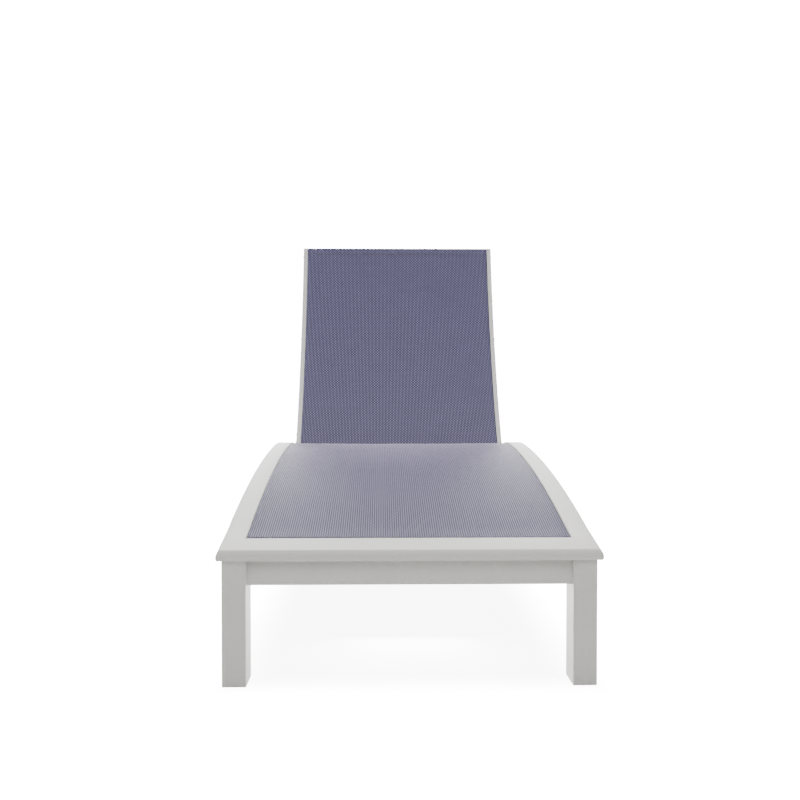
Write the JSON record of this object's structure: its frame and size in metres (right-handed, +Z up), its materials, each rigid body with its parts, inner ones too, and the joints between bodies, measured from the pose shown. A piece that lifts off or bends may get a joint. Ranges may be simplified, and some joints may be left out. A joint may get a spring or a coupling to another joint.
{
  "type": "chaise lounge",
  "caption": "Outdoor chaise lounge: a waved board frame on square legs, a stretched fabric seat and a curved fabric back that folds down on a propped, notched support.",
  "frame": {"origin": "middle of the footprint, on the floor plane", "axes": "+X to the picture's right, seen from the foot; +Y from the foot to the head; +Z up"},
  "size_m": [0.711, 1.9246, 0.9921],
  "materials": {
    "board": "satin, warm light grey board",
    "rail_metal": "satin light grey powder coat",
    "sling_fabric": "blue-violet woven mesh, matt",
    "black_plastic": "matt black",
    "grey_plastic": "matt grey",
    "steel": "brushed",
    "glide_rubber": "matt dark"
  },
  "bodies": {
    "frame": {"foot_cap": "board", "head_cap": "board", "side_cap_left": "board", "side_cap_right": "board", "leg_foot_left": "board", "leg_foot_right": "board", "leg_head_left": "board", "leg_head_right": "board", "glides": "glide_rubber", "foot_apron": "board", "head_apron": "board", "side_beam_left": "board", "side_beam_right": "board", "stretcher_foot": "board", "stretcher_middle": "board", "stretcher_hinge": "board", "stretcher_head": "board", "seat_rail_left": "rail_metal", "seat_rail_right": "rail_metal", "seat_rail_caps": "grey_plastic", "seat_spreader_foot": "rail_metal", "seat_spreader_middle": "rail_metal", "seat_spreader_head": "rail_metal", "seat_beads": "black_plastic", "seat_sling": "sling_fabric", "seat_brackets": "steel", "hinge_bolts": "steel", "hinge_washers": "steel", "hinge_nuts": "steel", "rack_left": "board", "rack_right": "board"},
    "back": {"back_rail_left": "rail_metal", "back_rail_right": "rail_metal", "back_rail_caps": "grey_plastic", "back_spreader_foot": "rail_metal", "back_spreader_middle": "rail_metal", "back_spreader_top": "rail_metal", "back_beads": "black_plastic", "back_sling": "sling_fabric", "back_knuckle_left": "rail_metal", "back_knuckle_right": "rail_metal", "back_hinge_bushes": "black_plastic", "prop_bracket_left": "rail_metal", "prop_bracket_right": "rail_metal", "prop_pins": "steel"},
    "prop": {"prop_arm_left": "rail_metal", "prop_arm_right": "rail_metal", "prop_bar": "rail_metal", "prop_rollers": "black_plastic"}
  },
  "joints": [
    {"name": "back_hinge", "type": "hinge", "parent": "frame", "child": "back", "pos_m": [0, 0.16114, 0.33424], "axis": [-1, 0, 0], "range_deg": [0, 63]},
    {"name": "prop_pivot", "type": "hinge", "parent": "back", "child": "prop", "pos_m": [0, 0.30275, 0.5523], "axis": [1, 0, 0], "range_deg": [0, 126]}
  ],
  "couplings": [
    {"joint": "prop_pivot", "follows": "back_hinge", "ratio": 2}
  ]
}
